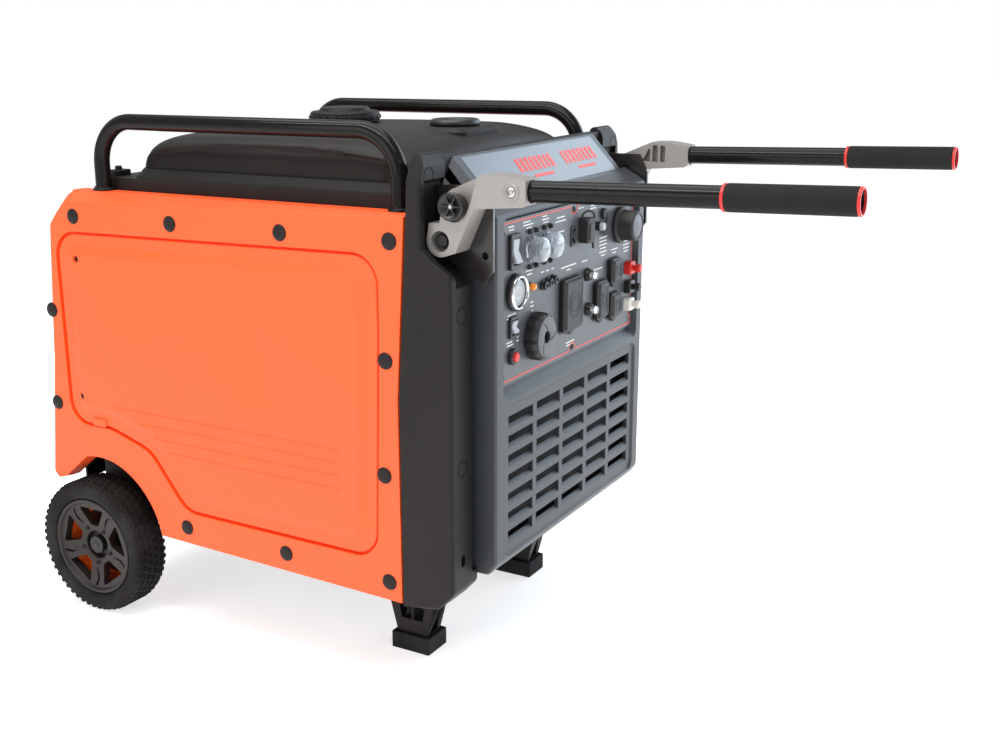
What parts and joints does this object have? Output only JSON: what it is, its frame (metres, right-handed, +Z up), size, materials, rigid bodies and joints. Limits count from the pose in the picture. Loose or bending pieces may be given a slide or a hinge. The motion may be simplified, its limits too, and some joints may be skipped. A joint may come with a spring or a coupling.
{
  "type": "portable generator",
  "caption": "Wheeled inverter generator in a moulded case with fold-down pull handles, carry rails, a sloping console, a control panel and an intake grille.",
  "frame": {"origin": "on the ground, at the middle of the box round the whole object with its handles raised", "axes": "+X towards the control panel and the handle grips, +Z up, +Y completes the right-handed frame"},
  "size_m": [1.1702, 0.604, 0.7334],
  "materials": {
    "orange_cover": "satin moulded plastic",
    "black_moulding": "fine grained moulded plastic",
    "grey_front": "fine grained moulded plastic",
    "control_panel": "smooth film with a thin red border",
    "black_steel": "gloss black paint",
    "cast_alloy": "cast and bead blasted",
    "foam_grip": "closed cell foam",
    "tyre": "moulded rubber",
    "foot_rubber": "moulded rubber",
    "rim_plastic": "satin moulded plastic",
    "switch_black": "satin moulded plastic",
    "switch_red": "gloss",
    "switch_grey": "satin",
    "zinc_steel": "zinc plated",
    "engine_alloy": "as cast",
    "engine_steel": "machined",
    "tank_plastic": "plain",
    "copper": "enamelled winding",
    "muffler_steel": "heat stained"
  },
  "bodies": {
    "chassis": {"foot_boot_left": "foot_rubber", "front_leg_left": "black_moulding", "side_cover_left": "orange_cover", "access_door_left": "orange_cover", "handle_plate_left": "black_steel", "pivot_bolt_left": "zinc_steel", "rail_left": "black_steel", "foot_boot_right": "foot_rubber", "front_leg_right": "black_moulding", "side_cover_right": "orange_cover", "access_door_right": "orange_cover", "handle_plate_right": "black_steel", "pivot_bolt_right": "zinc_steel", "rail_right": "black_steel", "base_tray": "black_steel", "axle": "zinc_steel", "rear_cover": "black_moulding", "top_cover": "black_moulding", "front_surround": "black_moulding", "front_fascia": "grey_front", "control_panel": "control_panel", "fuel_gauge": "black_moulding", "fuel_tank": "tank_plastic", "engine_block": "engine_alloy", "stator": "copper", "muffler": "muffler_steel", "air_cleaner": "black_moulding", "inverter_module": "engine_alloy", "battery": "black_moulding"},
    "wheel_left": {"tyre_left": "tyre", "rim_left": "rim_plastic"},
    "handle_left": {"handle_arm_left": "cast_alloy", "handle_tube_left": "black_steel", "handle_grip_left": "foam_grip"},
    "lock_knob_left": {"lock_knob_left": "switch_black"},
    "wheel_right": {"tyre_right": "tyre", "rim_right": "rim_plastic"},
    "handle_right": {"handle_arm_right": "cast_alloy", "handle_tube_right": "black_steel", "handle_grip_right": "foam_grip"},
    "lock_knob_right": {"lock_knob_right": "switch_black"},
    "start_button": {"start_button": "switch_grey"},
    "reset_button": {"reset_button": "switch_red"},
    "breaker_button_upper": {"breaker_button_upper": "switch_grey"},
    "breaker_button_lower": {"breaker_button_lower": "switch_grey"},
    "engine_rocker": {"engine_rocker": "switch_grey"},
    "run_switch": {"run_switch": "switch_grey"},
    "economy_switch": {"economy_switch": "switch_black"},
    "breaker_switch_left": {"breaker_switch_left": "switch_black"},
    "breaker_switch_right": {"breaker_switch_right": "switch_black"},
    "socket_lid_large": {"socket_lid_large": "switch_black"},
    "socket_lid_middle": {"socket_lid_middle": "switch_black"},
    "socket_lid_upper": {"socket_lid_upper": "switch_black"},
    "socket_lid_lower": {"socket_lid_lower": "switch_black"},
    "engine_dial": {"engine_dial": "switch_black"},
    "outlet_cap": {"outlet_cap": "switch_black"},
    "fuel_cap": {"fuel_cap": "black_moulding"},
    "crank_rotor": {"crankshaft": "engine_steel", "rotor_fan": "engine_steel"}
  },
  "joints": [
    {"name": "wheel_left_spin", "type": "hinge", "parent": "chassis", "child": "wheel_left", "pos_m": [-0.4835, -0.274, 0.1016], "axis": [0, 1, 0], "continuous": true},
    {"name": "handle_left_fold", "type": "hinge", "parent": "chassis", "child": "handle_left", "pos_m": [0.1105, -0.251, 0.5975], "axis": [0, 1, 0], "range_deg": [0, 90]},
    {"name": "lock_knob_left_pull", "type": "slide", "parent": "handle_left", "child": "lock_knob_left", "axis": [0, -1, 0], "range_m": [0, 0.008], "stiffness_N_per_m": 900},
    {"name": "wheel_right_spin", "type": "hinge", "parent": "chassis", "child": "wheel_right", "pos_m": [-0.4835, 0.274, 0.1016], "axis": [0, 1, 0], "continuous": true},
    {"name": "handle_right_fold", "type": "hinge", "parent": "chassis", "child": "handle_right", "pos_m": [0.1105, 0.251, 0.5975], "axis": [0, 1, 0], "range_deg": [0, 90]},
    {"name": "lock_knob_right_pull", "type": "slide", "parent": "handle_right", "child": "lock_knob_right", "axis": [0, 1, 0], "range_m": [0, 0.008], "stiffness_N_per_m": 900},
    {"name": "start_button_press", "type": "slide", "parent": "chassis", "child": "start_button", "axis": [-1, 0, 0], "range_m": [0, 0.0025], "stiffness_N_per_m": 500},
    {"name": "reset_button_press", "type": "slide", "parent": "chassis", "child": "reset_button", "axis": [-1, 0, 0], "range_m": [0, 0.004], "stiffness_N_per_m": 500},
    {"name": "breaker_button_upper_press", "type": "slide", "parent": "chassis", "child": "breaker_button_upper", "axis": [-1, 0, 0], "range_m": [0, 0.003], "stiffness_N_per_m": 500},
    {"name": "breaker_button_lower_press", "type": "slide", "parent": "chassis", "child": "breaker_button_lower", "axis": [-1, 0, 0], "range_m": [0, 0.003], "stiffness_N_per_m": 500},
    {"name": "engine_rocker_rock", "type": "hinge", "parent": "chassis", "child": "engine_rocker", "pos_m": [0.1555, -0.17, 0.575], "axis": [0, 1, 0], "range_deg": [0, 18]},
    {"name": "run_switch_rock", "type": "hinge", "parent": "chassis", "child": "run_switch", "pos_m": [0.1555, -0.172, 0.481], "axis": [0, 1, 0], "range_deg": [0, 18]},
    {"name": "economy_switch_rock", "type": "hinge", "parent": "chassis", "child": "economy_switch", "pos_m": [0.1555, -0.003, 0.571], "axis": [0, 1, 0], "range_deg": [0, 18]},
    {"name": "breaker_switch_left_rock", "type": "hinge", "parent": "chassis", "child": "breaker_switch_left", "pos_m": [0.1555, -0.12, 0.571], "axis": [0, 1, 0], "range_deg": [0, 18]},
    {"name": "breaker_switch_right_rock", "type": "hinge", "parent": "chassis", "child": "breaker_switch_right", "pos_m": [0.1555, -0.08, 0.571], "axis": [0, 1, 0], "range_deg": [0, 18]},
    {"name": "socket_lid_large_lift", "type": "hinge", "parent": "chassis", "child": "socket_lid_large", "pos_m": [0.159, -0.012, 0.5152], "axis": [0, -1, 0], "range_deg": [0, 100]},
    {"name": "socket_lid_middle_lift", "type": "hinge", "parent": "chassis", "child": "socket_lid_middle", "pos_m": [0.159, 0.084, 0.4952], "axis": [0, -1, 0], "range_deg": [0, 100]},
    {"name": "socket_lid_upper_lift", "type": "hinge", "parent": "chassis", "child": "socket_lid_upper", "pos_m": [0.159, 0.131, 0.5202], "axis": [0, -1, 0], "range_deg": [0, 100]},
    {"name": "socket_lid_lower_lift", "type": "hinge", "parent": "chassis", "child": "socket_lid_lower", "pos_m": [0.159, 0.131, 0.4702], "axis": [0, -1, 0], "range_deg": [0, 88]},
    {"name": "engine_dial_turn", "type": "hinge", "parent": "chassis", "child": "engine_dial", "pos_m": [0.1555, -0.112, 0.458], "axis": [1, 0, 0], "range_deg": [-60, 60]},
    {"name": "outlet_cap_twist", "type": "hinge", "parent": "chassis", "child": "outlet_cap", "pos_m": [0.1555, 0.15, 0.567], "axis": [1, 0, 0], "range_deg": [-60, 0]},
    {"name": "fuel_cap_twist", "type": "hinge", "parent": "chassis", "child": "fuel_cap", "pos_m": [-0.212, 0, 0.7124], "axis": [0, 0, 1], "range_deg": [0, 90]},
    {"name": "crank_spin", "type": "hinge", "parent": "chassis", "child": "crank_rotor", "pos_m": [-0.2, 0, 0.29], "axis": [1, 0, 0], "continuous": true}
  ]
}
